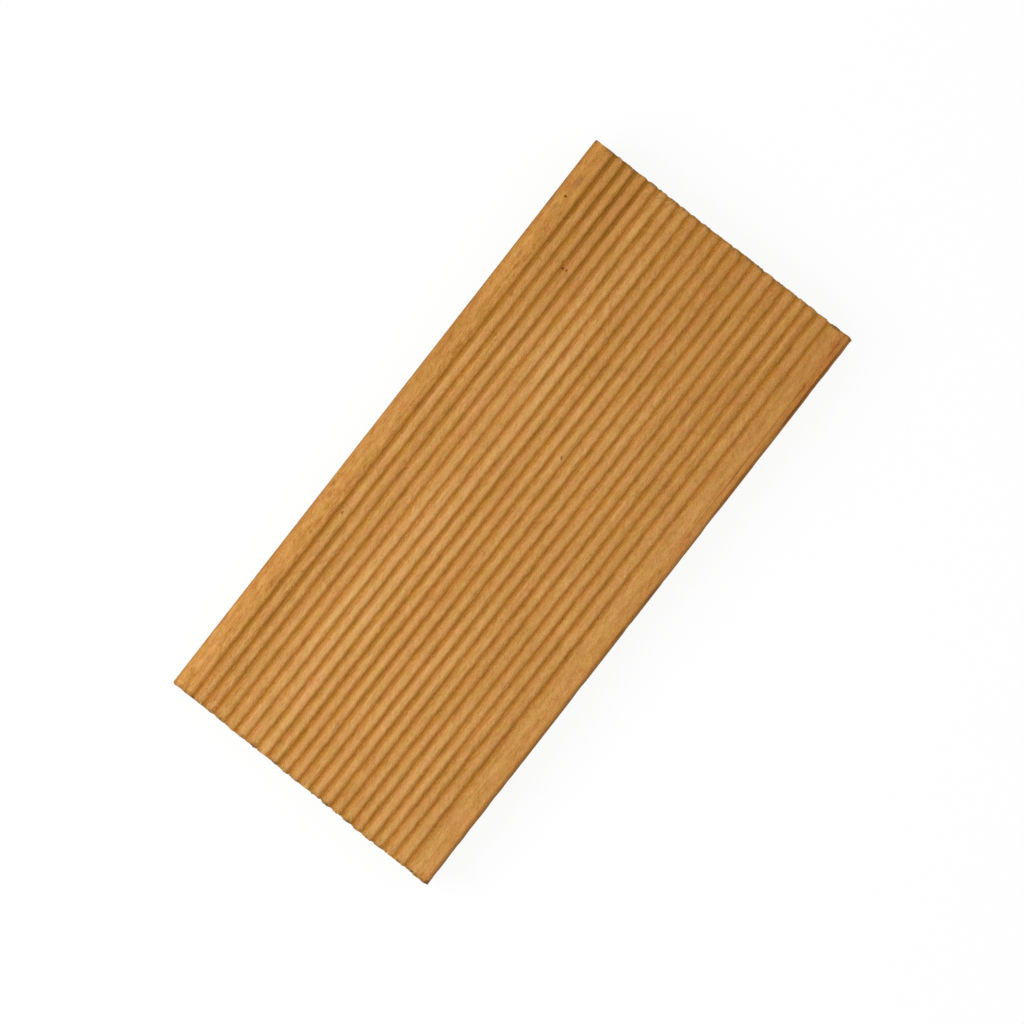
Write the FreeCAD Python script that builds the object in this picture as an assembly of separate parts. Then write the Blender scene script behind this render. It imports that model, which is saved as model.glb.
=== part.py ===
# Short length of a reeded hardwood decking board, moulded and sawn from one plank.
# The section stands in the YZ plane and runs along X. The origin is the middle of
# the flat underside, +Z is the reeded walking face and +Y is the edge with the
# narrower plain land.

import FreeCAD
import Part
import math
import os

# Stock, in millimetres
board_length = 309.0
board_width = 145.0
board_thickness = 25.0
edge_radius = 3.0
end_skew = 2.0

# Reeded walking face, in millimetres
groove_count = 21
groove_mouth = 3.1
groove_depth = 2.5
groove_floor_radius = 0.3
rib_flat = 1.0
land_narrow = 9.65
land_wide = 11.35

# Places that follow from the sizes above
saw_waste = edge_radius + end_skew
start_x = -board_length / 2 - saw_waste
half_width = board_width / 2
reeded_width = board_width - land_narrow - land_wide
groove_pitch = (reeded_width - groove_mouth) / (groove_count - 1)
first_axis = -half_width + land_wide + groove_mouth / 2


def point(y, z):
    """Point of the section at the rough end, before the start is sawn off."""
    return FreeCAD.Vector(start_x, y, z)


def line(a, b):
    """Straight edge between two points of the section."""
    return Part.LineSegment(a, b).toShape()


def arc(a, middle, b):
    """Round edge from a to b by way of a middle point."""
    return Part.Arc(a, middle, b).toShape()


def half_groove():
    """Right half of a groove, from its floor to the rib top, as (across, down) pairs."""
    half_mouth = groove_mouth / 2
    centre_depth = groove_depth - groove_floor_radius
    reach = math.hypot(half_mouth, centre_depth)
    lift = math.atan2(centre_depth, half_mouth)
    turn = math.acos(groove_floor_radius / reach)
    foot = lift - turn
    slope = foot + math.pi / 2
    flank = reach * math.sin(turn)
    back = min((groove_pitch - groove_mouth - rib_flat) / 2, 0.85 * flank)
    rib_radius = back / math.tan(slope / 2)
    floor = (0.0, groove_depth)
    flank_foot = (
        groove_floor_radius * math.cos(foot),
        centre_depth - groove_floor_radius * math.sin(foot),
    )
    flank_head = (half_mouth - back * math.cos(slope), back * math.sin(slope))
    shoulder = (
        half_mouth + back - rib_radius * math.sin(slope / 2),
        rib_radius * (1 - math.cos(slope / 2)),
    )
    rib_start = (half_mouth + back, 0.0)
    return floor, flank_foot, flank_head, shoulder, rib_start


def groove_points(axis):
    """Points across one groove from -Y to +Y, from rib top to rib top."""
    rising = half_groove()
    falling = [(-across, down) for across, down in reversed(rising[1:])]
    return [point(axis + across, board_thickness - down) for across, down in [*falling, *rising]]


def groove_edges(places):
    """Rib shoulder, flank, round floor, flank and rib shoulder of one groove."""
    left_top, left_shoulder, left_head, left_foot, floor, foot, head, shoulder, top = places
    return [
        arc(left_top, left_shoulder, left_head),
        line(left_head, left_foot),
        arc(left_foot, floor, foot),
        line(foot, head),
        arc(head, shoulder, top),
    ]


def rounded_corner(y, z, start_angle):
    """Quarter round of a long edge about its centre, turned clockwise from the start angle."""
    places = []
    for part in (0, 45, 90):
        angle = math.radians(start_angle - part)
        places.append(point(y + edge_radius * math.cos(angle), z + edge_radius * math.sin(angle)))
    return arc(*places)


def walking_face():
    """Edges of the reeded face from the wide land at -Y to the narrow land at +Y."""
    edges = []
    pen = point(-half_width + edge_radius, board_thickness)
    for number in range(groove_count):
        places = groove_points(first_axis + number * groove_pitch)
        edges.append(line(pen, places[0]))
        edges.extend(groove_edges(places))
        pen = places[-1]
    edges.append(line(pen, point(half_width - edge_radius, board_thickness)))
    return edges


def section():
    """Closed section: reeded face, rounded long edges, straight sides and flat underside."""
    inner = half_width - edge_radius
    upper = board_thickness - edge_radius
    edges = walking_face()
    edges.append(rounded_corner(inner, upper, 90))
    edges.append(line(point(half_width, upper), point(half_width, edge_radius)))
    edges.append(rounded_corner(inner, edge_radius, 0))
    edges.append(line(point(inner, 0), point(-inner, 0)))
    edges.append(rounded_corner(-inner, edge_radius, -90))
    edges.append(line(point(-half_width, edge_radius), point(-half_width, upper)))
    edges.append(rounded_corner(-inner, upper, 180))
    return Part.Face(Part.Wire(edges))


def sawn_waste():
    """Waste beyond the saw line at the start, a little out of square and shorter at the narrow land."""
    slope = end_skew / board_width
    saw_line = [
        FreeCAD.Vector(start_x + saw_waste + slope * (y + half_width), y, -board_thickness)
        for y in (-board_width, board_width)
    ]
    back = FreeCAD.Vector(-board_length / 2, 0, 0)
    corners = [saw_line[0], saw_line[1], saw_line[1] + back, saw_line[0] + back, saw_line[0]]
    return Part.Face(Part.makePolygon(corners)).extrude(FreeCAD.Vector(0, 0, 3 * board_thickness))


plank = section().extrude(FreeCAD.Vector(board_length + saw_waste, 0, 0))
board = plank.cut(sawn_waste())
os.makedirs("parts", exist_ok=True)
board.exportStep("parts/decking_board.step")
print(f"decking board: pitch {groove_pitch:.3f} mm, volume {board.Volume / 1000:.1f} cm3")
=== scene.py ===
"""Looks of a short reeded hardwood decking board: worn wood over the solid, floor, light and camera."""

import logging
import math
import random
from dataclasses import dataclass, field
from enum import Enum

import bmesh
import bpy
from mathutils import Matrix, Vector, noise


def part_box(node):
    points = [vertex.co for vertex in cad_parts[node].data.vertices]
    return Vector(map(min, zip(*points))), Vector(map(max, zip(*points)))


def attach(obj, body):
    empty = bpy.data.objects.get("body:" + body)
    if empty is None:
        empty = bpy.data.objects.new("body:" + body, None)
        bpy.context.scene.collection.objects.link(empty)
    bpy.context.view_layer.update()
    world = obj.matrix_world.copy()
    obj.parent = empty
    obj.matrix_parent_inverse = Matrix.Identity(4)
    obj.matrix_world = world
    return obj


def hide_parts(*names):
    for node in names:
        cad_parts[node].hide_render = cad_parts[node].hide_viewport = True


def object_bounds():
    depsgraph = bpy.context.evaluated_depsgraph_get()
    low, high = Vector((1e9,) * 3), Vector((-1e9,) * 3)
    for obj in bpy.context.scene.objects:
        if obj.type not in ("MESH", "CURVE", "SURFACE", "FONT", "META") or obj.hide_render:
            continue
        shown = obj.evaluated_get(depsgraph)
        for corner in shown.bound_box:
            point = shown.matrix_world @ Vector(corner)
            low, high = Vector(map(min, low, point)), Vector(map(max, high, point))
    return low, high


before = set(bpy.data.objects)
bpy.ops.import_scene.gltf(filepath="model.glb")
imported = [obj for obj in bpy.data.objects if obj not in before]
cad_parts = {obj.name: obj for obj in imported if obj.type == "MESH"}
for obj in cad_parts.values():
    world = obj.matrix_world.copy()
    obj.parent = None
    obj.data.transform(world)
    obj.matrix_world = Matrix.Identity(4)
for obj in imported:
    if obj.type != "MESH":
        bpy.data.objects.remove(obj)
CAD_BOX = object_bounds()
MM = 0.001
NOISE_REACH = 0.2
log = logging.getLogger("decking_board")

Colour = tuple[float, float, float, float]
Range = tuple[float, float]
Socket = bpy.types.NodeSocket
Material = bpy.types.Material
Mesh = bmesh.types.BMesh


class Grain(Enum):
    """Which way a surface of the board cuts the fibres, with its material slot."""

    LONG = 0
    END = 1


def srgb(red: float, green: float, blue: float) -> Colour:
    """Turn a colour in 0 to 255 display steps into a linear colour.

    Args:
        red: Red step.
        green: Green step.
        blue: Blue step.

    Returns:
        The linear colour with full opacity.
    """
    steps = (red / 255, green / 255, blue / 255)
    linear = [s / 12.92 if s <= 0.04045 else ((s + 0.055) / 1.055) ** 2.4 for s in steps]
    return (*linear, 1.0)


def ease(low: float, high: float, value: float) -> float:
    """Rise smoothly from 0 at low to 1 at high.

    Args:
        low: Where the rise begins.
        high: Where the rise ends.
        value: Where to read it.

    Returns:
        The eased share, from 0 to 1.
    """
    share = min(1.0, max(0.0, (value - low) / (high - low)))
    return share * share * (3 - 2 * share)


@dataclass(frozen=True)
class Ripple:
    """Even noise over two directions: cells in millimetres, seed and strength."""

    first: float
    second: float
    seed: float
    strength: float = 1.0

    def at(self, first: float, second: float) -> float:
        """Noise at a place, the same on each run."""
        return self.strength * noise.noise(Vector((first / self.first, second / self.second, self.seed)))


def rippled(ripples: tuple[Ripple, ...], first: float, second: float) -> float:
    """Sum of several ripples at a place."""
    return sum(ripple.at(first, second) for ripple in ripples)


def add_node(
    tree: bpy.types.NodeTree, kind: str, inputs: dict[int | str, object], **settings: object
) -> bpy.types.Node:
    """Add a node, with values or links on its inputs.

    Args:
        tree: The nodes that it joins.
        kind: Blender's name of the node type.
        inputs: Value or output socket for each input, by name or number.
        settings: Values of the node's own properties.

    Returns:
        The node.
    """
    node = tree.nodes.new(kind)
    for key, value in settings.items():
        setattr(node, key, value)
    for key, value in inputs.items():
        if isinstance(value, Socket):
            tree.links.new(value, node.inputs[key])
        else:
            node.inputs[key].default_value = value
    return node


def smooth_piece(
    name: str, bm: Mesh, finishes: tuple[Material, ...], sharp: float
) -> bpy.types.Object:
    """Turn a mesh in metres into a smooth piece of the scene.

    Args:
        name: The piece's name.
        bm: Its mesh, which is freed.
        finishes: Its materials, in the order of their slots.
        sharp: Angle in degrees from which an edge stays sharp.

    Returns:
        The piece, at the origin.
    """
    for face in bm.faces:
        face.smooth = True
    mesh = bpy.data.meshes.new(name)
    bm.to_mesh(mesh)
    bm.free()
    for finish in finishes:
        mesh.materials.append(finish)
    mesh.set_sharp_from_angle(angle=math.radians(sharp))
    piece = bpy.data.objects.new(name, mesh)
    bpy.context.scene.collection.objects.link(piece)
    return piece


@dataclass(frozen=True)
class Reeding:
    """Ribs and grooves of the walking face, in millimetres, and the painted shade down in the grooves in
    shares of a groove's mouth.
    """

    first_axis: float = -59.6
    pitch: float = 6.045
    count: int = 21
    mouth: float = 3.1
    depth: float = 2.5
    drift: tuple[float, ...] = (
        *(0.05, 0.48, 0.28, -0.03, 0.28, -0.02, 0.09, -0.04, -0.05, -0.11, -0.07),
        *(-0.31, -0.41, -0.44, -0.28, -0.24, -0.26, -0.19, 0.06, 0.0, -0.03),
    )
    rib_share: Range = (0.3, 0.7)
    shade_edge: float = 0.62
    shade_core: float = 0.05
    shade_shift: float = 0.07

    @property
    def last_axis(self) -> float:
        """Middle of the groove beside the narrow land."""
        return self.first_axis + (self.count - 1) * self.pitch

    def off_axis(self, across: float) -> float:
        """How far a place lies from the nearest groove's middle line, towards the narrow land.

        Args:
            across: Place across the board, in millimetres.

        Returns:
            The distance in millimetres, negative towards the wide land.
        """
        number = round((across - self.first_axis) / self.pitch)
        number = min(self.count - 1, max(0, number))
        return across - self.first_axis - number * self.pitch

    def cutter_drift(self, across: float) -> float:
        """How far the cutter ran off its line, even in a groove and eased over the ribs.

        Args:
            across: Place across the board, in millimetres.

        Returns:
            The sideways run in millimetres.
        """
        steps = min(self.count - 1.001, max(0.0, (across - self.first_axis) / self.pitch))
        number = int(steps)
        share = ease(*self.rib_share, steps - number)
        return self.drift[number] * (1 - share) + self.drift[number + 1] * share

    def shoulder_share(self, across: float) -> float:
        """How near a place is to the round shoulder of a rib, from 0 to 1."""
        return max(0.0, 1 - abs(abs(self.off_axis(across)) - self.mouth / 2))

    def groove_shade_share(self, across: float) -> float:
        """How far down in a groove's painted shade a place is, from 0 to 1."""
        # Painted shade: the groove colour stands in for shade and light bounced between the walls, centred a
        # little off the axis towards the wall that faces away from the lamp.
        off = abs(self.off_axis(across) - self.shade_shift * self.mouth)
        return ease(self.shade_edge * self.mouth, self.shade_core * self.mouth, off)


@dataclass(frozen=True)
class Pinhole:
    """Small borer hole or dark nick in the wood, in millimetres, slant from the grain in degrees."""

    along: float
    across: float
    width: float
    depth: float
    stretch: float = 1.0
    slant: float = 0.0
    dark: float = 1.0


@dataclass(frozen=True)
class Mark:
    """Stain, streak, pale band or painted shade of the walking face: middle, half sizes in millimetres and
    tint.
    """

    along: float
    across: float
    half_length: float
    half_width: float
    tint: tuple[float, float, float]


@dataclass(frozen=True)
class Tuft:
    """Patch of torn fibres: middle, spread, count, sizes in millimetres, slant from the grain in degrees."""

    along: float
    across: float
    reach_along: float
    reach_across: float
    count: int
    length: float
    width: float
    slant: float


@dataclass(frozen=True)
class Pattern:
    """Noise stretched along the grain: cells per millimetre, angle in degrees, fineness and strength."""

    along: float
    across: float
    up: float | None = None
    turn: float = 0.0
    detail: float = 2.0
    roughness: float = 0.5
    strength: float = 1.0

    @property
    def cells(self) -> tuple[float, float, float]:
        """Cells per millimetre along, across and up, which is as across where it isn't given."""
        return self.along, self.across, self.across if self.up is None else self.up


class ShaderBench:
    """Lays out the nodes of one material."""

    def __init__(self, name: str) -> None:
        """Start a material with its surface shader.

        Args:
            name: The material's name.
        """
        self.material = bpy.data.materials.new(name)
        self.material.use_nodes = True
        self.tree = self.material.node_tree
        self.surface = self.tree.nodes["Principled BSDF"]

    def add(self, kind: str, inputs: dict[int | str, object], **settings: object) -> bpy.types.Node:
        """Add a node to the material."""
        return add_node(self.tree, kind, inputs, **settings)

    def millimetres(self) -> Socket:
        """Place on the board in millimetres."""
        place = self.add("ShaderNodeTexCoord", {}).outputs["Object"]
        return self.vector("MULTIPLY", place, (1 / MM,) * 3)

    def across(self, place: object) -> Socket:
        """How far a place lies across the board."""
        return self.add("ShaderNodeSeparateXYZ", {0: place}).outputs["Y"]

    def painted(self, name: str) -> Socket:
        """Number that the mesh's points carry under a name."""
        return self.add("ShaderNodeAttribute", {}, attribute_name=name).outputs["Fac"]

    def vector(self, operation: str, first: object, second: object) -> Socket:
        """Work out one place or colour from two."""
        return self.add("ShaderNodeVectorMath", {0: first, 1: second}, operation=operation).outputs[0]

    def reach(self, vector: object) -> Socket:
        """Length of a vector."""
        return self.add("ShaderNodeVectorMath", {0: vector}, operation="LENGTH").outputs["Value"]

    def times(self, first: object, second: object) -> Socket:
        """Multiply two numbers."""
        return self.math("MULTIPLY", first, second)

    def math(self, operation: str, first: object, second: object = 0.0, clamp: bool = False) -> Socket:
        """Work out one number from two.

        Args:
            operation: Blender's name of the operation.
            first: First value or socket.
            second: Second value or socket.
            clamp: Whether to keep the result from 0 to 1.

        Returns:
            The result's socket.
        """
        node = self.add("ShaderNodeMath", {0: first, 1: second}, operation=operation, use_clamp=clamp)
        return node.outputs[0]

    def span(self, value: object, low: float, high: float, start: float = 0.0, end: float = 1.0) -> Socket:
        """Ease a number from one range into another.

        Args:
            value: The number's socket.
            low: Where the rise begins.
            high: Where the rise ends.
            start: Result at the beginning.
            end: Result at the end.

        Returns:
            The result's socket.
        """
        inputs = {"Value": value, "From Min": low, "From Max": high, "To Min": start, "To Max": end}
        return self.add("ShaderNodeMapRange", inputs, interpolation_type="SMOOTHSTEP").outputs["Result"]

    def figure(self, place: object, pattern: Pattern) -> Socket:
        """Noise about 0, up to half its strength either way.

        Args:
            place: Socket of the place in millimetres.
            pattern: The noise's stretch, fineness and strength.

        Returns:
            The noise's socket.
        """
        turn = {"Vector": place, "Angle": math.radians(pattern.turn)}
        turned = self.add("ShaderNodeVectorRotate", turn, rotation_type="Z_AXIS").outputs[0]
        inputs = {
            "Vector": self.vector("MULTIPLY", turned, pattern.cells),
            "Scale": 1.0,
            "Detail": pattern.detail,
            "Roughness": pattern.roughness,
        }
        cells = self.add("ShaderNodeTexNoise", inputs, noise_dimensions="3D")
        tone = self.math("SUBTRACT", cells.outputs["Fac"], 0.5)
        return tone if pattern.strength == 1.0 else self.times(tone, pattern.strength)

    def blend(self, factor: object, first: object, second: object, kind: str = "MIX") -> Socket:
        """Mix two colours.

        Args:
            factor: Share of the second colour.
            first: First colour or socket.
            second: Second colour or socket.
            kind: Blender's name of the blend.

        Returns:
            The mixed colour's socket.
        """
        node = self.add("ShaderNodeMix", {0: factor, 6: first, 7: second}, data_type="RGBA", blend_type=kind)
        return node.outputs[2]

    def scaled(self, colour: object, factor: object) -> Socket:
        """Brighten or darken a colour by a factor."""
        return self.add("ShaderNodeVectorMath", {0: colour, 3: factor}, operation="SCALE").outputs[0]

    def total(self, *parts: object) -> Socket:
        """Add up several numbers.

        Args:
            parts: Values or sockets.

        Returns:
            The sum's socket.
        """
        result = parts[0]
        for part in parts[1:]:
            result = self.math("ADD", result, part)
        return result

    def emboss(self, height: object, strength: float, depth: float) -> None:
        """Raise fine relief on the surface.

        Args:
            height: Socket of the height.
            strength: Share of the relief that shows.
            depth: Depth of the relief in millimetres.
        """
        bump = self.add("ShaderNodeBump", {"Strength": strength, "Distance": depth * MM, "Height": height})
        self.tree.links.new(bump.outputs["Normal"], self.surface.inputs["Normal"])

    def coat(self, colour: object, roughness: float, gloss: float) -> Material:
        """Lead the colour to the surface and set how matt it is.

        Args:
            colour: Socket of the colour.
            roughness: Roughness of the surface.
            gloss: Strength of its shine.

        Returns:
            The finished material.
        """
        self.tree.links.new(colour, self.surface.inputs["Base Color"])
        self.surface.inputs["Roughness"].default_value = roughness
        self.surface.inputs["Specular IOR Level"].default_value = gloss
        return self.material


@dataclass(frozen=True)
class HardwoodFinish:
    """Planed golden brown hardwood seen along the grain."""

    reeding: Reeding
    marks: tuple[Mark, ...]
    yellow: Colour = srgb(207, 152, 77)
    pink: Colour = srgb(210, 149, 83)
    # Painted shade: darker, more saturated colour of the grooves' floors and walls.
    groove: Colour = srgb(197, 142, 37)
    # Painted shade on the wide land's rounded edge.
    edge_shade: Colour = srgb(104, 66, 26)
    orange: Colour = srgb(205, 121, 48)
    pore: Colour = srgb(140, 88, 38)
    hole: Colour = srgb(132, 80, 0)
    bruise_and_shade: Colour = srgb(106, 76, 34)
    tone_tint: tuple[float, float, float] = (0.56, 0.40, 0.185)
    sway: tuple[float, float, float] = (0.0, 9.0, 6.0)
    bend: Pattern = Pattern(0.011, 0.02, detail=1.0)
    patches: Pattern = Pattern(0.085, 0.2, roughness=0.6)
    clouds: Pattern = Pattern(0.018, 0.1, detail=6.0, roughness=0.85, strength=0.62)
    streaks: Pattern = Pattern(0.012, 0.6, detail=4.0, roughness=0.75, strength=0.45)
    fuzz: Pattern = Pattern(0.38, 1.6, turn=-27.0, roughness=0.8)
    wisps: Pattern = Pattern(0.14, 0.6, turn=-20.0, detail=1.0, strength=0.22)
    specks: Pattern = Pattern(1.1, 1.6, detail=1.0, strength=0.38)
    clumps: Pattern = Pattern(0.05, 0.3, strength=1.6)
    land_figure: Pattern = Pattern(0.15, 0.5, detail=3.0, roughness=0.75, strength=0.85)
    land_lines: Pattern = Pattern(0.07, 2.2, roughness=0.6, strength=0.75)
    ragged: Pattern = Pattern(0.12, 0.3, detail=4.0, roughness=0.75, strength=2.4)
    flecks: Pattern = Pattern(0.2, 0.8, detail=3.0, roughness=0.7)
    uneven_shade: Pattern = Pattern(0.09, 0.5, detail=4.0, roughness=0.85, strength=2.0)
    groove_shade_tone: Pattern = Pattern(0.13, 0.1, detail=3.0, roughness=0.7, strength=0.55)
    vessels: Pattern = Pattern(0.22, 3.4, detail=1.0)
    fibres: Pattern = Pattern(0.3, 4.5, detail=3.0, roughness=0.65)
    fuzz_share: float = 0.6
    groove_side: float = 0.4
    groove_fuzz: float = 1.85
    uneven_shade_base: float = 0.52
    wide_land: float = 0.6
    line_reach: Range = (5.0, 1.0)
    outer_lines: float = 0.35
    edge_shade_share: float = 0.32
    edge_shade_reach: Range = (2.6, 0.9)
    edge_flecks: float = 0.75
    fleck_reach: Range = (8.0, 2.5)
    fleck_cut: Range = (0.06, 0.2)
    vessel_cut: Range = (0.13, 0.24)
    pore_share: float = 0.16
    pore_depth: float = 0.4
    rib_chance: float = 0.06
    rib_side_shade: float = 0.05
    mark_depth: float = 20.0
    mark_fade: Range = (1.0, 0.35)
    roughness: float = 0.68
    gloss: float = 0.25

    def make(self) -> Material:
        """Build the material.

        Returns:
            The finished material.
        """
        bench = ShaderBench("hardwood_long_grain")
        place = bench.millimetres()
        bent = self._bend(bench, place)
        colour = self._figure(bench, bent)
        colour = self._marked(bench, place, colour)
        colour = self._edges(bench, place, colour)
        colour = self._groove_shade(bench, place, colour)
        pores = self._pores(bench, bent)
        colour = bench.blend(bench.times(pores, self.pore_share), colour, self.pore)
        # Pinholes' dark colour: partly their own stain, partly painted shade in the pits.
        colour = bench.blend(bench.painted("hole"), colour, self.hole)
        # Crushed fibres and painted shade darken the sawn ends' upper edges.
        colour = bench.blend(bench.painted("end"), colour, self.bruise_and_shade)
        self._relief(bench, bent, pores)
        return bench.coat(colour, self.roughness, self.gloss)

    def _bend(self, bench: ShaderBench, place: Socket) -> Socket:
        """Let the fibres wander a little from side to side along the board.

        Args:
            bench: The material's nodes.
            place: Socket of the place in millimetres.

        Returns:
            The bent place's socket.
        """
        drift = bench.figure(place, self.bend)
        return bench.vector("ADD", place, bench.scaled(self.sway, drift))

    def _figure(self, bench: ShaderBench, place: Socket) -> Socket:
        """Mix the two wood tones and their streaks.

        Args:
            bench: The material's nodes.
            place: Socket of the place in millimetres.

        Returns:
            The colour's socket.
        """
        hue = bench.span(bench.figure(place, self.patches), -NOISE_REACH, NOISE_REACH)
        colour = bench.blend(hue, self.yellow, self.pink)
        tone = bench.total(
            bench.figure(place, self.clouds),
            bench.figure(place, self.streaks),
            self._land_grain(bench, place),
            self._rib_tone(bench, place),
            self._nap(bench, place),
        )
        return bench.vector("ADD", colour, bench.scaled(self.tone_tint, tone))

    def _nap(self, bench: ShaderBench, place: Socket) -> Socket:
        """Pale and dark fuzz of short fibres, slanting across the grain.

        Args:
            bench: The material's nodes.
            place: Socket of the place in millimetres.

        Returns:
            Socket of its tone about 0.
        """
        rough = bench.math("ADD", bench.figure(place, self.clumps), self.fuzz_share, clamp=True)
        tone = bench.total(
            bench.times(bench.figure(place, self.fuzz), rough),
            bench.figure(place, self.wisps),
            bench.figure(place, self.specks),
        )
        groove_shaded = bench.painted("groove")
        return bench.times(tone, bench.span(groove_shaded, 0.0, self.groove_side, 1.0, self.groove_fuzz))

    def _land_grain(self, bench: ShaderBench, place: Socket) -> Socket:
        """Stronger figure of the plain lands, with fine lines beside the narrow one's groove.

        Args:
            bench: The material's nodes.
            place: Socket of the place in millimetres.

        Returns:
            Socket of its tone about 0.
        """
        across = bench.across(place)
        edge = self.reeding.last_axis + self.reeding.mouth
        land = bench.span(across, self.reeding.last_axis, edge)
        far, near = self.line_reach
        inner = bench.times(land, bench.span(across, edge + far, edge + near, self.outer_lines, 1.0))
        outer = self.reeding.first_axis - self.reeding.mouth
        wide = bench.span(across, self.reeding.first_axis, outer, 0.0, self.wide_land)
        lands = bench.math("ADD", land, wide)
        return bench.total(
            bench.times(bench.figure(place, self.land_figure), lands),
            bench.times(bench.figure(place, self.land_lines), inner),
        )

    def _marked(self, bench: ShaderBench, place: Socket, colour: Socket) -> Socket:
        """Lay the stains, streaks, pale bands and painted shade over the wood's figure.

        Args:
            bench: The material's nodes.
            place: Socket of the place in millimetres.
            colour: Socket of the colour so far.

        Returns:
            The colour's socket.
        """
        for mark in self.marks:
            middle = (mark.along, mark.across, CAD_BOX[1].z / MM)
            size = (1 / mark.half_length, 1 / mark.half_width, 1 / self.mark_depth)
            from_middle = bench.vector("SUBTRACT", place, middle)
            away = bench.reach(bench.vector("MULTIPLY", from_middle, size))
            share = bench.span(away, *self.mark_fade)
            colour = bench.blend(share, colour, (*mark.tint, 1.0), kind="MULTIPLY")
        return colour

    def _edges(self, bench: ShaderBench, place: Socket, colour: Socket) -> Socket:
        """Lay painted shade along the wide land's rounded edge and orange flecks over both lands' outer
        parts.

        Args:
            bench: The material's nodes.
            place: Socket of the place in millimetres.
            colour: Socket of the colour so far.

        Returns:
            The colour's socket.
        """
        across = bench.across(place)
        inside = bench.math("SUBTRACT", across, CAD_BOX[0].y / MM)
        reach = bench.math("ADD", inside, bench.figure(place, self.ragged))
        share = bench.span(reach, *self.edge_shade_reach, 0.0, self.edge_shade_share)
        # Painted shade: darker colour along the wide land's rounded edge, with a ragged inner border.
        colour = bench.blend(share, colour, self.edge_shade)
        flecks = bench.span(bench.figure(place, self.flecks), *self.fleck_cut)
        from_edge = bench.math("SUBTRACT", CAD_BOX[1].y / MM, bench.math("ABSOLUTE", across))
        outer = bench.span(from_edge, *self.fleck_reach, 0.0, self.edge_flecks)
        return bench.blend(bench.times(flecks, outer), colour, self.orange)

    def _rib_tone(self, bench: ShaderBench, place: Socket) -> Socket:
        """Give each rib a tone of its own, with painted light paler on one side of it and painted shade
        darker on the other.

        Args:
            bench: The material's nodes.
            place: Socket of the place in millimetres.

        Returns:
            Socket of its tone about 0.
        """
        from_first = bench.math("SUBTRACT", bench.across(place), self.reeding.first_axis)
        ribs = bench.math("DIVIDE", from_first, self.reeding.pitch)
        number = bench.math("FLOOR", ribs)
        chance = bench.add("ShaderNodeTexWhiteNoise", {"W": number}, noise_dimensions="1D").outputs["Value"]
        own = bench.times(bench.math("SUBTRACT", chance, 0.5), self.rib_chance)
        # Painted light and shade: one side of each rib paler, the other darker, as the light falls across the
        # ribs.
        side_shade = bench.math("SINE", bench.times(ribs, math.tau))
        return bench.math("ADD", own, bench.times(side_shade, self.rib_side_shade))

    def _groove_shade(self, bench: ShaderBench, place: Socket, colour: Socket) -> Socket:
        """Paint shade down in the grooves, unevenly along each one.

        Args:
            bench: The material's nodes.
            place: Socket of the place in millimetres.
            colour: Socket of the colour so far.

        Returns:
            The colour's socket.
        """
        groove_shaded = bench.painted("groove")
        strength = bench.math("ADD", bench.figure(place, self.uneven_shade), self.uneven_shade_base, clamp=True)
        # Painted shade: the groove colour, darker in uneven patches, stands for the shade down in each
        # groove.
        colour = bench.blend(bench.times(groove_shaded, strength), colour, self.groove)
        shade = bench.times(bench.figure(place, self.groove_shade_tone), groove_shaded)
        return bench.scaled(colour, bench.math("ADD", shade, 1.0))

    def _pores(self, bench: ShaderBench, place: Socket) -> Socket:
        """Short dark vessel lines along the grain."""
        return bench.span(bench.figure(place, self.vessels), *self.vessel_cut)

    def _relief(self, bench: ShaderBench, place: Socket, pores: Socket) -> None:
        """Fine fibre relief, too small for the mesh.

        Args:
            bench: The material's nodes.
            place: Socket of the place in millimetres.
            pores: Socket of the vessel lines.
        """
        sunk = bench.times(pores, self.pore_depth)
        height = bench.math("SUBTRACT", bench.figure(place, self.fibres), sunk)
        bench.emboss(height, strength=0.5, depth=0.12)


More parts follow.
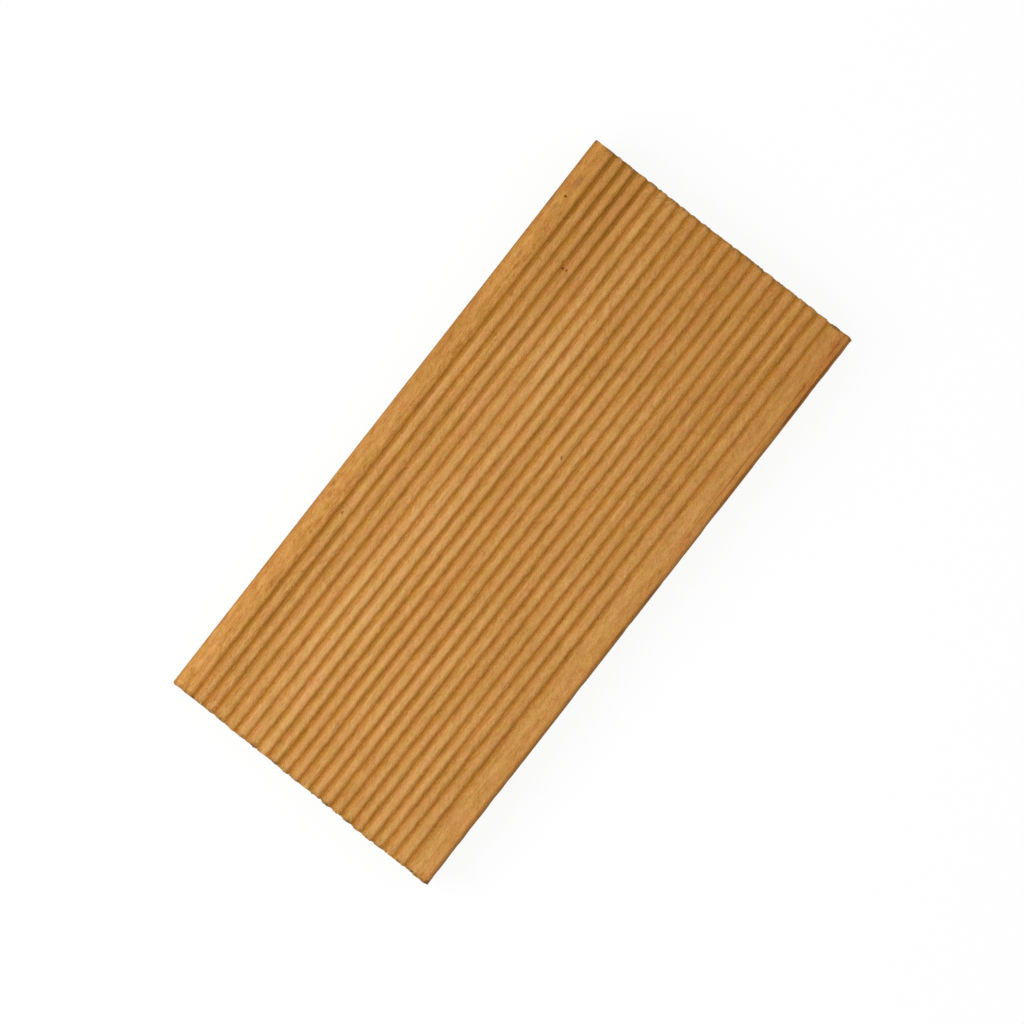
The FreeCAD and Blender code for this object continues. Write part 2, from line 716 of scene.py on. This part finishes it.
@dataclass(frozen=True)
class EndGrainFinish:
    """Sawn end of the board, where the vessels are cut across."""

    body: Colour = srgb(178, 125, 68)
    ring: Colour = srgb(156, 104, 53)
    pore: Colour = srgb(92, 56, 24)
    heart: tuple[float, float, float] = (0.0, -38.0, -75.0)
    ring_gap: float = 3.4
    uneven: Pattern = Pattern(0.02, 0.06, strength=10.0)
    faint: Pattern = Pattern(0.02, 0.12)
    faintness: Range = (0.1, 0.9)
    kerf: Pattern = Pattern(0.0, 1.3, up=0.06, detail=3.0)
    kerf_shade: float = 0.35
    vessel_cells: float = 1.4
    vessel_cut: Range = (0.22, 0.1)
    pore_share: float = 0.7
    roughness: float = 0.8
    gloss: float = 0.15

    def make(self) -> Material:
        """Build the material.

        Returns:
            The finished material.
        """
        bench = ShaderBench("hardwood_end_grain")
        place = bench.millimetres()
        colour = bench.blend(self._rings(bench, place), self.body, self.ring)
        dots = bench.add("ShaderNodeTexVoronoi", {"Vector": place, "Scale": self.vessel_cells}, feature="F1")
        pores = bench.span(dots.outputs["Distance"], *self.vessel_cut)
        colour = bench.blend(bench.times(pores, self.pore_share), colour, self.pore)
        kerf = bench.figure(place, self.kerf)
        colour = bench.scaled(colour, bench.math("ADD", bench.times(kerf, self.kerf_shade), 1.0))
        bench.emboss(bench.math("SUBTRACT", kerf, pores), strength=0.6, depth=0.2)
        return bench.coat(colour, self.roughness, self.gloss)

    def _rings(self, bench: ShaderBench, place: Socket) -> Socket:
        """Share of the darker wood in uneven growth rings round the heart of the tree.

        Args:
            bench: The material's nodes.
            place: Socket of the place in millimetres.

        Returns:
            The share's socket.
        """
        away = bench.vector("SUBTRACT", place, self.heart)
        radius = bench.reach(bench.vector("MULTIPLY", away, (0.0, 1.0, 1.0)))
        grown = bench.math("ADD", radius, bench.figure(place, self.uneven))
        turns = bench.math("DIVIDE", grown, self.ring_gap)
        rings = bench.span(bench.math("SINE", bench.times(turns, math.tau)), -1.0, 1.0)
        faint = bench.span(bench.figure(place, self.faint), -NOISE_REACH, NOISE_REACH, *self.faintness)
        return bench.times(rings, faint)


@dataclass
class DeckingBoard:
    """The board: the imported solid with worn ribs, ragged ends and pinholes. Sizes are in millimetres."""

    reeding: Reeding
    pinholes: tuple[Pinhole, ...]
    marks: tuple[Mark, ...]
    end_skew: float = 2.0
    edge_radius: float = 3.0
    border: float = 0.5
    stations: int = 212
    close_stations: int = 14
    closest: float = 0.18
    round_step: float = 16.0
    round_chord: float = 0.22
    flat_width: float = 0.45
    face_cell: float = 0.75
    plain_cell: float = 18.0
    end_cell: float = 2.5
    nicks: tuple[Ripple, Ripple] = (Ripple(7.0, 50.0, -1.5), Ripple(7.0, 50.0, 6.5))
    nick_depth: float = 0.45
    nick_from: float = 0.05
    least_nick: float = 0.02
    nick_reach: Range = (1.5, 0.2)
    plain_edge: Range = (2.5, 4.5)
    wander: tuple[Ripple, ...] = (
        Ripple(37.0, 3.3, 5.2, strength=0.07),
        Ripple(9.0, 3.1, 7.1, strength=0.065),
        Ripple(3.3, 1.9, 3.7, strength=0.3),
    )
    sink: float = 0.09
    sink_down: float = 0.8
    sinks: tuple[Ripple, ...] = (Ripple(15.0, 3.5, 1.3, strength=0.55), Ripple(3.2, 1.3, 9.9, strength=0.4))
    tear: float = 1.1
    tears: Ripple = Ripple(5.5, 1.7, 21.3)
    tear_from: float = 0.22
    rag: float = 0.38
    rag_reach: float = 5.0
    rags: tuple[tuple[Ripple, ...], ...] = (
        (Ripple(24.0, 24.0, 60.0, 1.4), Ripple(3.3, 4.0, 61.0, 0.84), Ripple(0.9, 1.6, 62.0, 1.26)),
        (Ripple(24.0, 24.0, 40.0, 1.0), Ripple(3.3, 4.0, 41.0, 0.6), Ripple(0.9, 1.6, 42.0, 0.9)),
    )
    least_rag: float = 0.03
    corner_chip: float = 0.5
    chip_across: float = 2.0
    chip_down: float = 8.0
    bruise_and_shade_ripples: tuple[Ripple, ...] = (Ripple(6.0, 150.0, 71.0), Ripple(1.1, 150.0, 73.0, strength=0.9))
    bruise_and_shade: float = 0.36
    darkest_bruise_and_shade: float = 0.9
    bruise_and_shade_reach: Range = (2.3, 0.5)
    clean_groove: float = 0.75
    hole_cuts: int = 4
    hole_margin: Range = (1.2, 0.9)
    hole_wall: Range = (1.5, 0.5)
    hole_stain_and_shade: Range = (1.4, 0.7)
    sharp_angle: float = 55.0
    length: float = field(init=False)
    width: float = field(init=False)
    top: float = field(init=False)

    def __post_init__(self) -> None:
        """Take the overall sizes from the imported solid."""
        low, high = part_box("decking_board")
        self.length = (high.x - low.x) / MM
        self.width = (high.y - low.y) / MM
        self.top = high.z / MM

    def build(self) -> bpy.types.Object:
        """Model the board and dress it.

        Returns:
            The finished piece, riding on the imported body.
        """
        bm = bmesh.new()
        bm.from_mesh(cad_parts["decking_board"].data)
        bmesh.ops.scale(bm, vec=(1 / MM,) * 3, verts=bm.verts[:])
        bmesh.ops.remove_doubles(bm, verts=bm.verts[:], dist=0.001)
        bmesh.ops.dissolve_limit(bm, angle_limit=math.radians(1.0), verts=bm.verts[:], edges=bm.edges[:])
        self._thin_rounds(bm)
        self._border_flats(bm)
        self._divide_flats(bm)
        self._divide_length(bm)
        self._divide_ends(bm)
        self._wear(bm)
        self._sink_pinholes(bm)
        bmesh.ops.scale(bm, vec=(MM,) * 3, verts=bm.verts[:])
        return self._dress(bm)

    def _thin_rounds(self, bm: Mesh) -> None:
        """Leave out some long edges of the small rounds, so that the cells go to the length instead.

        Args:
            bm: The board's mesh in millimetres.
        """
        end = max(bm.faces, key=lambda face: face.calc_center_median().x)
        spare = []
        turned = 0.0
        kept = end.loops[0].vert.co.copy()
        for loop in end.loops:
            before = loop.vert.co - loop.link_loop_prev.vert.co
            after = loop.link_loop_next.vert.co - loop.vert.co
            turned += math.degrees(before.angle(after))
            chord = (loop.vert.co - kept).length
            flat = max(before.length, after.length) > self.flat_width
            if flat or (turned >= self.round_step and chord >= self.round_chord):
                turned = 0.0
                kept = loop.vert.co.copy()
            else:
                spare.extend(edge for edge in loop.vert.link_edges if self._runs_along(edge))
        bmesh.ops.dissolve_edges(bm, edges=spare, use_verts=True)

    def _runs_along(self, edge: bmesh.types.BMEdge) -> bool:
        """Whether an edge runs from end to end."""
        first, second = edge.verts
        return abs(first.co.x - second.co.x) > self.length / 2

    def _border_flats(self, bm: Mesh) -> None:
        """Cut a narrow strip off the underside and the sides beside each round, so that they shade flat.

        Args:
            bm: The board's mesh in millimetres.
        """
        bm.normal_update()
        reach = self.edge_radius + self.border
        across = Vector((0, 1, 0))
        up = Vector((0, 0, 1))
        for facing, axis, places in (
            (-up, across, (reach - self.width / 2, self.width / 2 - reach)),
            (across, up, (reach, self.top - reach)),
            (-across, up, (reach, self.top - reach)),
        ):
            flat = [face for face in bm.faces if face.normal.dot(facing) > 0.999]
            for place in places:
                flat = self._cut(bm, flat, axis * place, axis)

    def _divide_flats(self, bm: Mesh) -> None:
        """Divide rib tops, flanks, lands, sides and underside into strips along the board.

        Args:
            bm: The board's mesh in millimetres.
        """
        strips: dict[int, list[bmesh.types.BMEdge]] = {}
        for edge in bm.edges:
            if self._runs_along(edge):
                continue
            middle = (edge.verts[0].co + edge.verts[1].co) / 2
            cell = self.face_cell if self._on_face(middle.z, below=0.5) else self.plain_cell
            cuts = round(edge.calc_length() / cell) - 1
            if cuts > 0:
                strips.setdefault(cuts, []).append(edge)
        for cuts, edges in strips.items():
            bmesh.ops.subdivide_edges(bm, edges=edges, cuts=cuts)

    def _divide_length(self, bm: Mesh) -> None:
        """Cut the strips into stations, closer together near the sawn ends.

        Args:
            bm: The board's mesh in millimetres.
        """
        edges = [edge for edge in bm.edges if self._runs_along(edge)]
        bmesh.ops.subdivide_edges(bm, edges=edges, cuts=self.stations - 1)
        last = self.stations - 1
        from_end = [min(number, last - number) for number in range(self.stations)]
        gaps = [self.closest + (1 - self.closest) * ease(0, self.close_stations, steps) for steps in from_end]
        places = [0.0]
        for gap in gaps:
            places.append(places[-1] + gap * self.length / sum(gaps))
        for vert in bm.verts:
            start = self._saw_line(vert.co.y)
            share = (self.length / 2 - start) / self.length
            number = round((vert.co.x - start) / share / self.length * self.stations)
            vert.co.x = start + places[number] * share

    def _on_face(self, height: float, below: float = 0.3) -> bool:
        """Whether a height belongs to the walking face, down to a little below the groove floors."""
        return height > self.top - self.reeding.depth - below

    def _from_end(self, place: Vector) -> float:
        """How far a point lies from the sawn end on its half of the board."""
        return self.length / 2 - place.x if place.x > 0 else place.x - self._saw_line(place.y)

    def _saw_line(self, across: float) -> float:
        """Where the start end is sawn off, a little out of square."""
        return -self.length / 2 + self.end_skew * (across / self.width + 0.5)

    def _divide_ends(self, bm: Mesh) -> None:
        """Divide the two sawn ends into small cells and mark them as end grain.

        Args:
            bm: The board's mesh in millimetres.
        """
        for side in (-1, 1):
            ends = [face for face in bm.faces if face.normal.x * side > 0.9]
            for axis, half in ((Vector((0, 0, 1)), self.top / 2), (Vector((0, 1, 0)), self.width / 2)):
                middle = self.top / 2 if axis.z else 0.0
                count = math.ceil(2 * half / self.end_cell)
                for number in range(1, count):
                    place = axis * (middle - half + 2 * half * number / count)
                    ends = self._cut(bm, ends, place, axis)
            for face in ends:
                face.material_index = Grain.END.value

    @staticmethod
    def _cut(
        bm: Mesh, faces: list[bmesh.types.BMFace], place: Vector, axis: Vector
    ) -> list[bmesh.types.BMFace]:
        """Cut faces along a plane.

        Args:
            bm: The board's mesh.
            faces: Faces to cut.
            place: Point on the plane.
            axis: The plane's normal.

        Returns:
            The faces after the cut.
        """
        edges = dict.fromkeys(edge for face in faces for edge in face.edges)
        verts = dict.fromkeys(vert for face in faces for vert in face.verts)
        geom = [*verts, *edges, *faces]
        result = bmesh.ops.bisect_plane(bm, geom=geom, dist=0.0005, plane_co=place, plane_no=axis)
        return [item for item in result["geom"] if isinstance(item, bmesh.types.BMFace)]

    def _wear(self, bm: Mesh) -> None:
        """Move every point a little: wandering ribs, torn arrises and ragged ends.

        Args:
            bm: The board's mesh in millimetres.
        """
        end_darkened = bm.verts.layers.float.new("end")
        groove_shaded = bm.verts.layers.float.new("groove")
        for vert in bm.verts:
            place = vert.co.copy()
            vert.co += self._face_wear(place)
            vert.co.x -= math.copysign(self._end_wear(place), place.x)
            vert[end_darkened] = self._bruise_and_shade(place)
            if self._on_face(place.z):
                # Share of the grooves' painted shade, which the wood's material reads.
                vert[groove_shaded] = self.reeding.groove_shade_share(place.y)

    def _face_wear(self, place: Vector) -> Vector:
        """How far a point of the walking face, a side or the underside moves.

        Args:
            place: The point on the clean board.

        Returns:
            The move, never out of the clean board.
        """
        x, y, z = place
        edge = self.width / 2 - abs(y)
        nick = self.least_nick + self.nick_depth * max(0.0, self.nicks[y > 0].at(x, z) - self.nick_from)
        inward = math.copysign(nick * ease(*self.nick_reach, edge), -y)
        if not self._on_face(z):
            return Vector((0, inward, 0))
        reeded = ease(*self.plain_edge, edge)
        aside = rippled(self.wander, x, y) + self.reeding.cutter_drift(y)
        torn = max(0.0, self.tears.at(x, y) - self.tear_from) * self.reeding.shoulder_share(y)
        drop = self.sink * (1 + rippled(self.sinks, x, y))
        drop *= ease(self.top - self.reeding.depth, self.top - self.sink_down, z)
        return Vector((0, inward + aside * reeded, -drop - self.tear * torn))

    def _end_wear(self, place: Vector) -> float:
        """How far a point near a sawn end is set back.

        Args:
            place: The point on the clean board.

        Returns:
            The set-back in millimetres.
        """
        x, y, z = place
        reach = 1 - self._from_end(place) / self.rag_reach
        if reach <= 0:
            return 0.0
        ragged = self.rag * (1 + rippled(self.rags[x > 0], y, z))
        corner = ease(self.chip_across, 0.0, self.width / 2 + y) * ease(self.chip_down, 0.0, self.top - z)
        return max(self.least_rag, ragged + self.corner_chip * corner) * reach * reach

    def _bruise_and_shade(self, place: Vector) -> float:
        """How dark the crushed fibres and the painted shade are at a sawn end's upper edge.

        Args:
            place: The point on the clean board.

        Returns:
            The share, from 0 to 1.
        """
        x, y, _ = place
        patch = self.bruise_and_shade + rippled(self.bruise_and_shade_ripples, y, x)
        shown = ease(*self.bruise_and_shade_reach, self._from_end(place))
        shown *= 1 - self.clean_groove * self.reeding.groove_shade_share(y)
        return min(self.darkest_bruise_and_shade, max(0.0, patch)) * shown

    def _sink_pinholes(self, bm: Mesh) -> None:
        """Sink the pinholes into the walking face, with finer cells about each.

        Args:
            bm: The board's mesh in millimetres.
        """
        dark = bm.verts.layers.float.new("hole")
        near = [edge for edge in bm.edges if any(self._beside(edge, hole) for hole in self.pinholes)]
        bmesh.ops.subdivide_edges(bm, edges=near, cuts=self.hole_cuts, use_grid_fill=True)
        for hole in self.pinholes:
            turn = Matrix.Rotation(math.radians(-hole.slant), 2)
            for vert in bm.verts:
                along, across = turn @ Vector((vert.co.x - hole.along, vert.co.y - hole.across))
                away = math.hypot(along / hole.stretch, across) / (hole.width / 2)
                if away < self.hole_wall[0] and self._on_face(vert.co.z, below=0.5):
                    vert.co.z -= hole.depth * ease(*self.hole_wall, away)
                    # Dark share of the pit: the hole's own stain and painted shade.
                    vert[dark] = max(vert[dark], hole.dark * ease(*self.hole_stain_and_shade, away))

    def _beside(self, edge: bmesh.types.BMEdge, hole: Pinhole) -> bool:
        """Whether an edge of the walking face lies at or beside a pinhole.

        Args:
            edge: The edge.
            hole: The pinhole.

        Returns:
            True where both ends are near it.
        """
        reach_along = hole.width * hole.stretch + self.hole_margin[0]
        reach_across = hole.width + self.hole_margin[1]
        return all(
            abs(vert.co.x - hole.along) < reach_along
            and abs(vert.co.y - hole.across) < reach_across
            and self._on_face(vert.co.z, below=0.5)
            for vert in edge.verts
        )

    def _dress(self, bm: Mesh) -> bpy.types.Object:
        """Turn the mesh into the finished piece.

        Args:
            bm: The board's mesh in metres.

        Returns:
            The piece.
        """
        finishes = {
            Grain.LONG: HardwoodFinish(self.reeding, self.marks).make(),
            Grain.END: EndGrainFinish().make(),
        }
        piece = smooth_piece("board", bm, tuple(finishes[grain] for grain in Grain), self.sharp_angle)
        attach(piece, "root")
        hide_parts("decking_board")
        return piece


@dataclass(frozen=True)
class FibreFinish:
    """Pale torn wood fibre."""

    pale: Colour = srgb(226, 174, 102)
    brown: Colour = srgb(180, 120, 58)
    tones: Pattern = Pattern(0.3, 0.9)
    roughness: float = 0.75
    gloss: float = 0.2

    def make(self) -> Material:
        """Build the material.

        Returns:
            The finished material.
        """
        bench = ShaderBench("torn_fibre")
        tones = bench.figure(bench.millimetres(), self.tones)
        colour = bench.blend(bench.span(tones, -NOISE_REACH, NOISE_REACH), self.pale, self.brown)
        return bench.coat(colour, self.roughness, self.gloss)


@dataclass
class TornFibres:
    """Loose splinters that lie on the ribs and stick out at the sawn ends. Sizes are in millimetres."""

    reeding: Reeding
    tufts: tuple[Tuft, ...]
    sides: int = 5
    flatness: float = 0.35
    tip: float = 0.25
    lengths: Range = (0.6, 1.3)
    widths: Range = (0.7, 1.2)
    slant_scatter: float = 14.0
    start_clear: float = 2.2
    end_clear: float = 0.1
    rib_reach: float = 0.62
    below_top: float = 0.07
    sharp_angle: float = 80.0
    seed: int = 11

    def build(self) -> bpy.types.Object:
        """Model the splinters and dress them.

        Returns:
            The finished piece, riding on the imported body.
        """
        chance = random.Random(self.seed)
        bm = bmesh.new()
        for tuft in self.tufts:
            for _ in range(tuft.count):
                self._lay(bm, tuft, chance)
        bmesh.ops.scale(bm, vec=(MM,) * 3, verts=bm.verts[:])
        piece = smooth_piece("fibres", bm, (FibreFinish().make(),), self.sharp_angle)
        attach(piece, "root")
        return piece

    def _lay(self, bm: Mesh, tuft: Tuft, chance: random.Random) -> None:
        """Lay one splinter on the nearest rib or land.

        Args:
            bm: The splinters' mesh.
            tuft: The patch that it belongs to.
            chance: Source of its place and size.
        """
        length = tuft.length * chance.uniform(*self.lengths)
        slant = math.radians(tuft.slant + chance.uniform(-self.slant_scatter, self.slant_scatter))
        half = length / 2 * abs(math.cos(slant)) + self.end_clear
        limit = CAD_BOX[1].x / MM - half
        along = tuft.along + tuft.reach_along * chance.uniform(-1, 1)
        along = min(limit, max(self.start_clear - limit, along))
        across = self._on_rib(tuft.across + tuft.reach_across * chance.uniform(-1, 1))
        place = Vector((along, across, CAD_BOX[1].z / MM - self.below_top))
        laid = Matrix.Translation(place) @ Matrix.Rotation(slant, 4, "Z")
        flat = Matrix.Diagonal((1.0, 1.0, self.flatness, 1.0)) @ Matrix.Rotation(math.pi / 2, 4, "Y")
        width = tuft.width * chance.uniform(*self.widths)
        bmesh.ops.create_cone(
            bm,
            cap_ends=True,
            segments=self.sides,
            radius1=width / 2,
            radius2=self.tip * width / 2,
            depth=length,
            matrix=laid @ flat,
        )

    def _on_rib(self, across: float) -> float:
        """Move a place out of a groove onto the rib beside it."""
        off = self.reeding.off_axis(across)
        return across + math.copysign(max(0.0, self.rib_reach * self.reeding.mouth - abs(off)), off)


@dataclass
class Studio:
    """White floor and soft light round the board, in metres."""

    floor_size: float = 12.0
    floor_shade: float = 0.11
    floor_glow: float = 0.905
    sky: float = 0.64
    lamp_place: tuple[float, float, float] = (-0.30, 0.38, 0.6)
    lamp_size: float = 0.5
    lamp_power: float = 2.36

    def build(self) -> bpy.types.Object:
        """Make the floor, the lamp and the sky.

        Returns:
            The floor.
        """
        self._make_sky()
        self._make_lamp()
        bm = bmesh.new()
        bmesh.ops.create_grid(bm, x_segments=1, y_segments=1, size=self.floor_size / 2)
        mesh = bpy.data.meshes.new("floor")
        bm.to_mesh(mesh)
        bm.free()
        mesh.materials.append(self._floor_paint())
        floor = bpy.data.objects.new("floor", mesh)
        bpy.context.scene.collection.objects.link(floor)
        return floor

    @staticmethod
    def _seen(tree: bpy.types.NodeTree) -> Socket:
        """Share of light paths that look straight at a thing, in a mirror or through glass.

        Args:
            tree: Nodes of the floor's paint or the sky.

        Returns:
            The share's socket.
        """
        path = tree.nodes.new("ShaderNodeLightPath")
        seen = path.outputs["Is Camera Ray"]
        for name in ("Is Glossy Ray", "Is Transmission Ray"):
            rays = {0: seen, 1: path.outputs[name]}
            seen = add_node(tree, "ShaderNodeMath", rays, operation="MAXIMUM").outputs[0]
        return seen

    def _floor_paint(self) -> Material:
        """White floor that keeps a pale shadow.

        Returns:
            The floor's material.
        """
        paint = bpy.data.materials.new("white_floor")
        paint.use_nodes = True
        tree = paint.node_tree
        tree.nodes.clear()
        matt = add_node(tree, "ShaderNodeBsdfDiffuse", {"Color": (self.floor_shade,) * 3 + (1.0,)})
        light = {0: self._seen(tree), 1: self.floor_glow}
        lift = add_node(tree, "ShaderNodeMath", light, operation="MULTIPLY")
        glow = add_node(tree, "ShaderNodeEmission", {"Strength": lift.outputs[0]})
        both = add_node(tree, "ShaderNodeAddShader", {0: matt.outputs[0], 1: glow.outputs[0]})
        add_node(tree, "ShaderNodeOutputMaterial", {"Surface": both.outputs[0]})
        return paint

    def _make_sky(self) -> None:
        """Even light from all round, seen as white."""
        world = bpy.data.worlds.new("studio")
        world.use_nodes = True
        bpy.context.scene.world = world
        tree = world.node_tree
        light = {"Value": self._seen(tree), "To Min": self.sky, "To Max": 1.0}
        lift = add_node(tree, "ShaderNodeMapRange", light)
        backdrop = tree.nodes["Background"]
        backdrop.inputs["Color"].default_value = (1, 1, 1, 1)
        tree.links.new(lift.outputs["Result"], backdrop.inputs["Strength"])

    def _make_lamp(self) -> None:
        """Soft square lamp above, nearer to one end and one side."""
        light = bpy.data.lights.new("softbox", "AREA")
        light.shape = "SQUARE"
        light.size = self.lamp_size
        light.energy = self.lamp_power
        lamp = bpy.data.objects.new("softbox", light)
        lamp.location = self.lamp_place
        lamp.rotation_euler = (-Vector(self.lamp_place)).to_track_quat("-Z", "Y").to_euler()
        bpy.context.scene.collection.objects.link(lamp)


@dataclass
class LookingDown:
    """Camera above the board, whose length runs up to the right. Lengths in metres, angles in degrees."""

    distance: float = 1.5
    view_width: float = 0.45554
    far: float = 50.0
    turn: float = 52.06
    aim: tuple[float, float] = (0.0003, 0.00027)

    def build(self) -> bpy.types.Object:
        """Make the scene's camera.

        Returns:
            The camera.
        """
        data = bpy.data.cameras.new("camera")
        data.lens = data.sensor_width * self.distance / self.view_width
        data.clip_end = self.far
        camera = bpy.data.objects.new("camera", data)
        back = Matrix.Rotation(math.radians(-self.turn), 3, "Z")
        face_middle = Vector((0, 0, CAD_BOX[1].z))
        place = face_middle + back @ Vector((*self.aim, self.distance))
        camera.matrix_world = Matrix.Translation(place) @ back.to_4x4()
        bpy.context.scene.collection.objects.link(camera)
        bpy.context.scene.camera = camera
        return camera


PINHOLES = (
    Pinhole(along=125.9, across=67.5, width=1.2, depth=0.6, stretch=0.85),
    Pinhole(along=99.9, across=48.75, width=1.1, depth=0.5),
    Pinhole(along=100.05, across=46.85, width=1.0, depth=0.45),
    Pinhole(along=32.9, across=-2.7, width=0.85, depth=0.25, stretch=2.4, slant=30.0, dark=0.8),
    Pinhole(along=-46.2, across=59.3, width=0.8, depth=0.4, stretch=2.0, dark=0.8),
)

MARKS = (
    # Painted shade: the walking face darker towards the far end, away from the lamp.
    Mark(200.0, 0.0, 150.0, 900.0, (0.935, 0.895, 0.80)),
    Mark(0.0, 27.0, 400.0, 16.0, (1.05, 1.09, 1.17)),
    Mark(0.0, 70.0, 400.0, 12.0, (1.0, 0.945, 0.81)),
    Mark(0.0, -70.0, 400.0, 12.0, (1.0, 0.98, 0.915)),
    Mark(125.0, 46.0, 75.0, 6.0, (0.92, 0.86, 0.80)),
    # Marks at across -70.8 to -71.6 are painted shade on the wide land's rounded edge, darker in stretches;
    # the thin one at -68.2 is a painted shadow line beside it.
    Mark(85.0, -68.2, 75.0, 0.5, (0.78, 0.68, 0.50)),
    Mark(60.0, -70.8, 330.0, 3.4, (0.94, 0.87, 0.77)),
    Mark(105.0, -66.0, 90.0, 8.0, (0.945, 0.91, 0.87)),
    Mark(-153.6, -71.6, 2.4, 1.9, (0.55, 0.50, 0.46)),
    Mark(15.0, 67.0, 75.0, 8.0, (0.94, 0.93, 0.90)),
    Mark(131.0, -71.2, 28.0, 0.75, (0.54, 0.43, 0.25)),
    Mark(111.0, -71.4, 14.0, 0.8, (0.56, 0.45, 0.28)),
    Mark(128.0, -69.9, 30.0, 0.8, (1.08, 0.99, 0.80)),
    Mark(147.0, -68.4, 9.0, 0.8, (0.74, 0.64, 0.46)),
    Mark(121.5, -68.5, 6.0, 0.7, (0.78, 0.68, 0.50)),
    Mark(76.0, -68.4, 9.0, 0.6, (0.78, 0.68, 0.50)),
    Mark(9.0, -71.6, 10.0, 0.8, (0.68, 0.58, 0.44)),
    Mark(-13.5, -71.0, 7.5, 0.6, (0.74, 0.64, 0.46)),
    Mark(40.5, -68.5, 2.6, 0.7, (0.78, 0.68, 0.48)),
    Mark(19.9, -68.4, 2.0, 0.7, (0.78, 0.68, 0.48)),
    Mark(12.6, -68.5, 2.2, 0.7, (0.78, 0.68, 0.48)),
    Mark(32.5, -69.8, 2.0, 0.9, (1.10, 0.92, 0.60)),
    Mark(24.6, -69.9, 1.8, 0.9, (1.10, 0.86, 0.68)),
    Mark(70.0, -71.4, 26.0, 0.9, (0.72, 0.62, 0.48)),
    # Painted shade: these darken the grooves beside the narrow land along stretches of the board.
    Mark(60.0, 61.3, 330.0, 1.6, (0.85, 0.81, 0.73)),
    Mark(70.0, 55.3, 300.0, 1.5, (0.93, 0.89, 0.81)),
    Mark(120.0, 49.3, 180.0, 1.5, (0.82, 0.78, 0.70)),
    Mark(90.0, 43.0, 200.0, 1.5, (0.82, 0.78, 0.70)),
    Mark(155.0, 61.3, 70.0, 1.6, (0.74, 0.71, 0.65)),
    Mark(155.0, 55.3, 70.0, 1.6, (0.76, 0.73, 0.67)),
    Mark(155.0, 49.3, 70.0, 1.6, (0.86, 0.83, 0.77)),
    Mark(155.0, 43.0, 70.0, 1.6, (0.90, 0.88, 0.84)),
    Mark(-75.0, 61.3, 80.0, 1.6, (0.84, 0.82, 0.77)),
    Mark(-75.0, 55.3, 80.0, 1.6, (0.80, 0.78, 0.73)),
    Mark(76.8, 59.7, 1.6, 0.9, (0.72, 0.62, 0.48)),
    Mark(58.4, 54.2, 1.5, 0.8, (0.72, 0.62, 0.48)),
    Mark(-61.6, 65.0, 1.5, 0.9, (0.72, 0.62, 0.48)),
    Mark(-111.1, 69.8, 3.0, 0.7, (0.98, 0.78, 0.58)),
    Mark(134.1, 66.9, 5.5, 2.2, (0.76, 0.735, 0.79)),
    Mark(119.2, 68.2, 4.0, 1.7, (0.84, 0.80, 0.84)),
    Mark(123.2, 60.6, 2.6, 1.2, (0.80, 0.72, 0.58)),
    Mark(40.0, 39.5, 240.0, 3.0, (1.0, 0.965, 0.94)),
    Mark(92.6, 68.0, 3.5, 1.2, (0.84, 0.80, 0.80)),
)

TUFTS = (
    Tuft(0.0, 0.0, 152.0, 64.0, count=260, length=2.0, width=0.22, slant=27.0),
    Tuft(108.0, 21.0, 38.0, 7.0, count=60, length=2.4, width=0.26, slant=30.0),
    Tuft(152.6, 0.0, 1.2, 68.0, count=70, length=2.6, width=0.28, slant=-35.0),
    Tuft(151.8, 34.0, 1.8, 6.0, count=16, length=3.6, width=0.34, slant=-40.0),
    Tuft(-151.8, 0.0, 1.4, 68.0, count=80, length=2.2, width=0.28, slant=32.0),
    Tuft(-101.0, 54.0, 50.0, 6.5, count=225, length=2.6, width=0.34, slant=20.0),
    Tuft(-101.0, 54.0, 50.0, 6.5, count=172, length=2.2, width=0.34, slant=-16.0),
    Tuft(0.0, 0.0, 148.0, 60.0, count=60, length=6.5, width=0.26, slant=2.0),
    Tuft(-121.0, 3.4, 3.0, 0.1, count=3, length=9.0, width=0.3, slant=0.0),
    Tuft(-50.5, -18.8, 1.0, 0.3, count=4, length=2.6, width=0.34, slant=14.0),
    Tuft(-63.1, -20.2, 0.8, 0.3, count=3, length=2.2, width=0.34, slant=14.0),
)


def main() -> None:
    """Build the board, its studio and its camera in order."""
    logging.basicConfig(level=logging.INFO, format="%(name)s: %(message)s")
    board = DeckingBoard(Reeding(), PINHOLES, MARKS).build()
    log.info("%s: %d faces", board.name, len(board.data.polygons))
    fibres = TornFibres(Reeding(), TUFTS).build()
    log.info("%s: %d faces", fibres.name, len(fibres.data.polygons))
    floor = Studio().build()
    log.info("%s: stage", floor.name)
    camera = LookingDown().build()
    log.info("%s: lens %.1f mm", camera.name, camera.data.lens)
    bpy.context.scene.view_settings.view_transform = "Standard"


if __name__ == "__main__":
    main()
